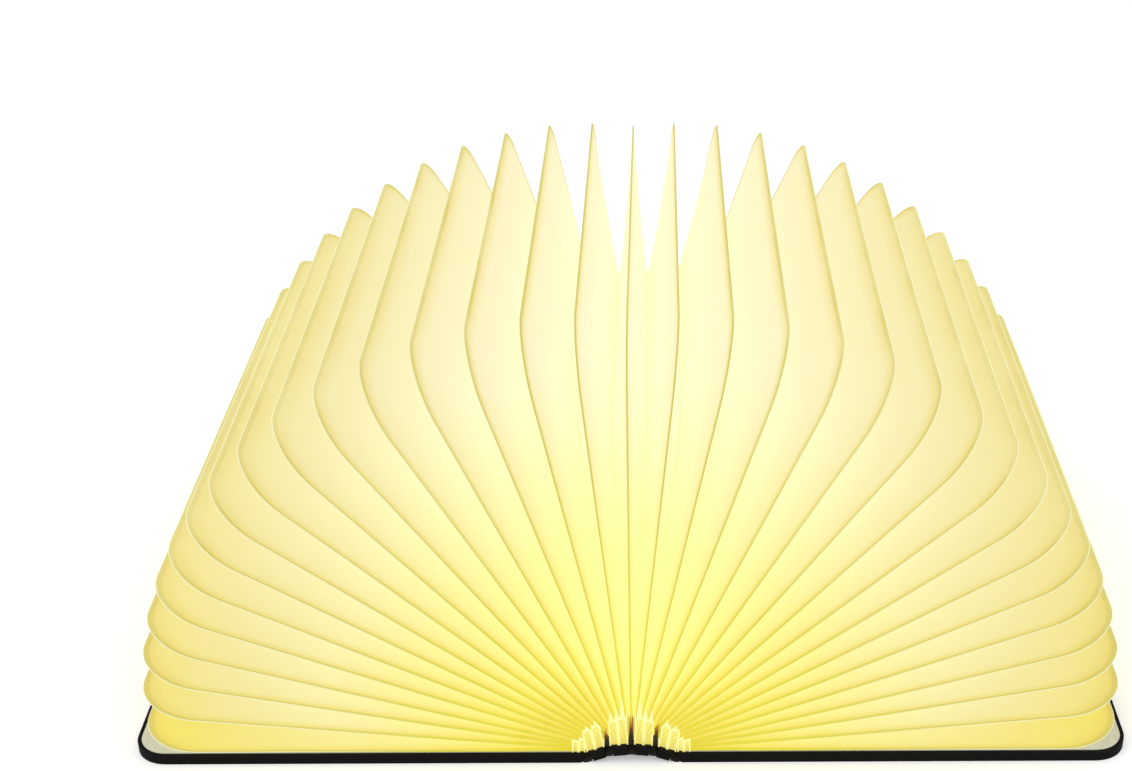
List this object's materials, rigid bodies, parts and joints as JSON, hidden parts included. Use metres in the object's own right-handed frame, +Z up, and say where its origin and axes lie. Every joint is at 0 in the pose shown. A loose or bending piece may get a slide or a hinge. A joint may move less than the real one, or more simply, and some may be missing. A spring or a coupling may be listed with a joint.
{
  "type": "folding book lamp",
  "caption": "Rechargeable lamp shaped like a hardback book: wooden covers with a lattice-cut bending spine open to unfold a lit fan of pleated paper.",
  "frame": {"origin": "on the surface it lies on, under the middle of the open book's spine", "axes": "+X towards the right cover's fore-edge, +Y along the spine towards the head edge with the charging socket, +Z up"},
  "size_m": [0.355, 0.215, 0.1659],
  "materials": {
    "walnut": "satin",
    "paper": "matte",
    "black_cloth": "matte",
    "pastedown_paper": "matte",
    "aluminium": "satin",
    "magnet_nickel": "polished",
    "circuit_green": "satin",
    "circuit_white": "satin",
    "chip_black": "matte",
    "chip_phosphor": "matte",
    "frosted_plastic": "matte",
    "battery_foil": "satin",
    "foam_tape": "matte",
    "copper_shell": "satin",
    "lead_red": "satin",
    "flex_amber": "satin"
  },
  "bodies": {
    "root": {"leaf_16": "paper", "spine_lining": "black_cloth", "led_keel": "aluminium", "led_strip": "circuit_white", "led_chips": "chip_phosphor", "led_diffuser": "frosted_plastic"},
    "left_inner": {"left_inner_slat": "walnut", "leaf_12": "paper"},
    "left_outer": {"left_outer_slat": "walnut", "leaf_03": "paper"},
    "left_cover": {"left_cover": "walnut", "left_pastedown": "pastedown_paper", "left_magnets": "magnet_nickel", "end_leaf_left": "paper"},
    "right_inner": {"right_inner_slat": "walnut", "leaf_20": "paper"},
    "right_outer": {"right_outer_slat": "walnut", "leaf_29": "paper"},
    "right_cover": {"right_cover": "walnut", "right_pastedown": "pastedown_paper", "right_magnets": "magnet_nickel", "battery": "battery_foil", "battery_tape": "foam_tape", "battery_lead": "lead_red", "circuit_board": "circuit_green", "circuit_parts": "chip_black", "fold_sensor": "chip_black", "charge_socket": "copper_shell", "led_flex": "flex_amber", "end_leaf_right": "paper"},
    "leaf_15": {"leaf_15": "paper"},
    "leaf_14": {"leaf_14": "paper"},
    "leaf_13": {"leaf_13": "paper"},
    "leaf_11": {"leaf_11": "paper"},
    "leaf_10": {"leaf_10": "paper"},
    "leaf_09": {"leaf_09": "paper"},
    "leaf_08": {"leaf_08": "paper"},
    "leaf_07": {"leaf_07": "paper"},
    "leaf_06": {"leaf_06": "paper"},
    "leaf_05": {"leaf_05": "paper"},
    "leaf_04": {"leaf_04": "paper"},
    "leaf_02": {"leaf_02": "paper"},
    "leaf_01": {"leaf_01": "paper"},
    "leaf_17": {"leaf_17": "paper"},
    "leaf_18": {"leaf_18": "paper"},
    "leaf_19": {"leaf_19": "paper"},
    "leaf_21": {"leaf_21": "paper"},
    "leaf_22": {"leaf_22": "paper"},
    "leaf_23": {"leaf_23": "paper"},
    "leaf_24": {"leaf_24": "paper"},
    "leaf_25": {"leaf_25": "paper"},
    "leaf_26": {"leaf_26": "paper"},
    "leaf_27": {"leaf_27": "paper"},
    "leaf_28": {"leaf_28": "paper"},
    "leaf_30": {"leaf_30": "paper"},
    "leaf_31": {"leaf_31": "paper"}
  },
  "joints": [
    {"name": "spine_fold_left", "type": "hinge", "parent": "left_inner", "child": "left_outer", "pos_m": [-0.00797, 0, 0.00454], "axis": [0, 1, 0], "range_deg": [-49.97, 49.97], "deforming": ["spine_lining", "leaf_03"]},
    {"name": "spine_root_left", "type": "hinge", "parent": "root", "child": "left_inner", "pos_m": [0, 0, 0.00523], "axis": [0, 1, 0], "range_deg": [-24.22, 24.22], "deforming": ["spine_lining", "leaf_12", "leaf_16"]},
    {"name": "spine_edge_left", "type": "hinge", "parent": "left_outer", "child": "left_cover", "pos_m": [-0.01549, 0, 0.0018], "axis": [0, 1, 0], "range_deg": [-15.85, 15.85], "deforming": ["spine_lining", "end_leaf_left"]},
    {"name": "leaf_15_turn", "type": "hinge", "parent": "root", "child": "leaf_15", "pos_m": [0, 0, 0.00523], "axis": [0, 1, 0], "range_deg": [-5.77, 5.77], "deforming": ["leaf_15"]},
    {"name": "leaf_14_turn", "type": "hinge", "parent": "root", "child": "leaf_14", "pos_m": [0, 0, 0.00523], "axis": [0, 1, 0], "range_deg": [-11.77, 11.77], "deforming": ["leaf_14"]},
    {"name": "leaf_13_turn", "type": "hinge", "parent": "root", "child": "leaf_13", "pos_m": [0, 0, 0.00523], "axis": [0, 1, 0], "range_deg": [-17.94, 17.94], "deforming": ["leaf_13"]},
    {"name": "leaf_11_turn", "type": "hinge", "parent": "left_inner", "child": "leaf_11", "pos_m": [-0.00797, 0, 0.00454], "axis": [0, 1, 0], "range_deg": [-6.3, 6.3], "deforming": ["leaf_11"]},
    {"name": "leaf_10_turn", "type": "hinge", "parent": "left_inner", "child": "leaf_10", "pos_m": [-0.00797, 0, 0.00454], "axis": [0, 1, 0], "range_deg": [-12.47, 12.47], "deforming": ["leaf_10"]},
    {"name": "leaf_09_turn", "type": "hinge", "parent": "left_inner", "child": "leaf_09", "pos_m": [-0.00797, 0, 0.00454], "axis": [0, 1, 0], "range_deg": [-18.47, 18.47], "deforming": ["leaf_09"]},
    {"name": "leaf_08_turn", "type": "hinge", "parent": "left_inner", "child": "leaf_08", "pos_m": [-0.00797, 0, 0.00454], "axis": [0, 1, 0], "range_deg": [-24.22, 24.22], "deforming": ["leaf_08"]},
    {"name": "leaf_07_turn", "type": "hinge", "parent": "left_inner", "child": "leaf_07", "pos_m": [-0.00797, 0, 0.00454], "axis": [0, 1, 0], "range_deg": [-29.72, 29.72], "deforming": ["leaf_07"]},
    {"name": "leaf_06_turn", "type": "hinge", "parent": "left_inner", "child": "leaf_06", "pos_m": [-0.00797, 0, 0.00454], "axis": [0, 1, 0], "range_deg": [-34.97, 34.97], "deforming": ["leaf_06"]},
    {"name": "leaf_05_turn", "type": "hinge", "parent": "left_inner", "child": "leaf_05", "pos_m": [-0.00797, 0, 0.00454], "axis": [0, 1, 0], "range_deg": [-40.05, 40.05], "deforming": ["leaf_05"]},
    {"name": "leaf_04_turn", "type": "hinge", "parent": "left_inner", "child": "leaf_04", "pos_m": [-0.00797, 0, 0.00454], "axis": [0, 1, 0], "range_deg": [-45.02, 45.02], "deforming": ["leaf_04"]},
    {"name": "leaf_02_turn", "type": "hinge", "parent": "left_outer", "child": "leaf_02", "pos_m": [-0.01549, 0, 0.0018], "axis": [0, 1, 0], "range_deg": [-5.09, 5.09], "deforming": ["leaf_02"]},
    {"name": "leaf_01_turn", "type": "hinge", "parent": "left_outer", "child": "leaf_01", "pos_m": [-0.01549, 0, 0.0018], "axis": [0, 1, 0], "range_deg": [-10.35, 10.35], "deforming": ["leaf_01"]},
    {"name": "spine_root_right", "type": "hinge", "parent": "root", "child": "right_inner", "pos_m": [0, 0, 0.00523], "axis": [0, -1, 0], "range_deg": [-24.22, 24.22], "deforming": ["spine_lining", "leaf_20", "leaf_16"]},
    {"name": "spine_fold_right", "type": "hinge", "parent": "right_inner", "child": "right_outer", "pos_m": [0.00797, 0, 0.00454], "axis": [0, -1, 0], "range_deg": [-49.99, 49.99], "deforming": ["spine_lining", "leaf_29"]},
    {"name": "spine_edge_right", "type": "hinge", "parent": "right_outer", "child": "right_cover", "pos_m": [0.01549, 0, 0.0018], "axis": [0, -1, 0], "range_deg": [-15.85, 15.85], "deforming": ["spine_lining", "end_leaf_right", "led_flex"]},
    {"name": "leaf_17_turn", "type": "hinge", "parent": "root", "child": "leaf_17", "pos_m": [0, 0, 0.00523], "axis": [0, -1, 0], "range_deg": [-5.77, 5.77], "deforming": ["leaf_17"]},
    {"name": "leaf_18_turn", "type": "hinge", "parent": "root", "child": "leaf_18", "pos_m": [0, 0, 0.00523], "axis": [0, -1, 0], "range_deg": [-11.77, 11.77], "deforming": ["leaf_18"]},
    {"name": "leaf_19_turn", "type": "hinge", "parent": "root", "child": "leaf_19", "pos_m": [0, 0, 0.00523], "axis": [0, -1, 0], "range_deg": [-17.94, 17.94], "deforming": ["leaf_19"]},
    {"name": "leaf_21_turn", "type": "hinge", "parent": "right_inner", "child": "leaf_21", "pos_m": [0.00797, 0, 0.00454], "axis": [0, -1, 0], "range_deg": [-6.3, 6.3], "deforming": ["leaf_21"]},
    {"name": "leaf_22_turn", "type": "hinge", "parent": "right_inner", "child": "leaf_22", "pos_m": [0.00797, 0, 0.00454], "axis": [0, -1, 0], "range_deg": [-12.47, 12.47], "deforming": ["leaf_22"]},
    {"name": "leaf_23_turn", "type": "hinge", "parent": "right_inner", "child": "leaf_23", "pos_m": [0.00797, 0, 0.00454], "axis": [0, -1, 0], "range_deg": [-18.47, 18.47], "deforming": ["leaf_23"]},
    {"name": "leaf_24_turn", "type": "hinge", "parent": "right_inner", "child": "leaf_24", "pos_m": [0.00797, 0, 0.00454], "axis": [0, -1, 0], "range_deg": [-24.22, 24.22], "deforming": ["leaf_24"]},
    {"name": "leaf_25_turn", "type": "hinge", "parent": "right_inner", "child": "leaf_25", "pos_m": [0.00797, 0, 0.00454], "axis": [0, -1, 0], "range_deg": [-29.72, 29.72], "deforming": ["leaf_25"]},
    {"name": "leaf_26_turn", "type": "hinge", "parent": "right_inner", "child": "leaf_26", "pos_m": [0.00797, 0, 0.00454], "axis": [0, -1, 0], "range_deg": [-34.97, 34.97], "deforming": ["leaf_26"]},
    {"name": "leaf_27_turn", "type": "hinge", "parent": "right_inner", "child": "leaf_27", "pos_m": [0.00797, 0, 0.00454], "axis": [0, -1, 0], "range_deg": [-40.05, 40.05], "deforming": ["leaf_27"]},
    {"name": "leaf_28_turn", "type": "hinge", "parent": "right_inner", "child": "leaf_28", "pos_m": [0.00797, 0, 0.00454], "axis": [0, -1, 0], "range_deg": [-45.02, 45.02], "deforming": ["leaf_28"]},
    {"name": "leaf_30_turn", "type": "hinge", "parent": "right_outer", "child": "leaf_30", "pos_m": [0.01549, 0, 0.0018], "axis": [0, -1, 0], "range_deg": [-5.09, 5.09], "deforming": ["leaf_30"]},
    {"name": "leaf_31_turn", "type": "hinge", "parent": "right_outer", "child": "leaf_31", "pos_m": [0.01549, 0, 0.0018], "axis": [0, -1, 0], "range_deg": [-10.35, 10.35], "deforming": ["leaf_31"]}
  ],
  "couplings": [
    {"joint": "spine_root_left", "follows": "spine_fold_left", "ratio": 0.48425},
    {"joint": "spine_edge_left", "follows": "spine_fold_left", "ratio": 0.31667},
    {"joint": "leaf_15_turn", "follows": "spine_fold_left", "ratio": 0.11515},
    {"joint": "leaf_14_turn", "follows": "spine_fold_left", "ratio": 0.23508},
    {"joint": "leaf_13_turn", "follows": "spine_fold_left", "ratio": 0.35867},
    {"joint": "leaf_11_turn", "follows": "spine_fold_left", "ratio": 0.12557},
    {"joint": "leaf_10_turn", "follows": "spine_fold_left", "ratio": 0.24917},
    {"joint": "leaf_09_turn", "follows": "spine_fold_left", "ratio": 0.3691},
    {"joint": "leaf_08_turn", "follows": "spine_fold_left", "ratio": 0.48425},
    {"joint": "leaf_07_turn", "follows": "spine_fold_left", "ratio": 0.59422},
    {"joint": "leaf_06_turn", "follows": "spine_fold_left", "ratio": 0.6994},
    {"joint": "leaf_05_turn", "follows": "spine_fold_left", "ratio": 0.80092},
    {"joint": "leaf_04_turn", "follows": "spine_fold_left", "ratio": 0.90046},
    {"joint": "leaf_02_turn", "follows": "spine_fold_left", "ratio": 0.10152},
    {"joint": "leaf_01_turn", "follows": "spine_fold_left", "ratio": 0.2067},
    {"joint": "spine_root_right", "follows": "spine_fold_left", "ratio": 0.48425},
    {"joint": "spine_fold_right", "follows": "spine_fold_left", "ratio": 1},
    {"joint": "spine_edge_right", "follows": "spine_fold_left", "ratio": 0.31667},
    {"joint": "leaf_17_turn", "follows": "spine_fold_left", "ratio": 0.11515},
    {"joint": "leaf_18_turn", "follows": "spine_fold_left", "ratio": 0.23508},
    {"joint": "leaf_19_turn", "follows": "spine_fold_left", "ratio": 0.35867},
    {"joint": "leaf_21_turn", "follows": "spine_fold_left", "ratio": 0.12557},
    {"joint": "leaf_22_turn", "follows": "spine_fold_left", "ratio": 0.24917},
    {"joint": "leaf_23_turn", "follows": "spine_fold_left", "ratio": 0.3691},
    {"joint": "leaf_24_turn", "follows": "spine_fold_left", "ratio": 0.48425},
    {"joint": "leaf_25_turn", "follows": "spine_fold_left", "ratio": 0.59422},
    {"joint": "leaf_26_turn", "follows": "spine_fold_left", "ratio": 0.6994},
    {"joint": "leaf_27_turn", "follows": "spine_fold_left", "ratio": 0.80092},
    {"joint": "leaf_28_turn", "follows": "spine_fold_left", "ratio": 0.90046},
    {"joint": "leaf_30_turn", "follows": "spine_fold_left", "ratio": 0.10152},
    {"joint": "leaf_31_turn", "follows": "spine_fold_left", "ratio": 0.2067}
  ]
}
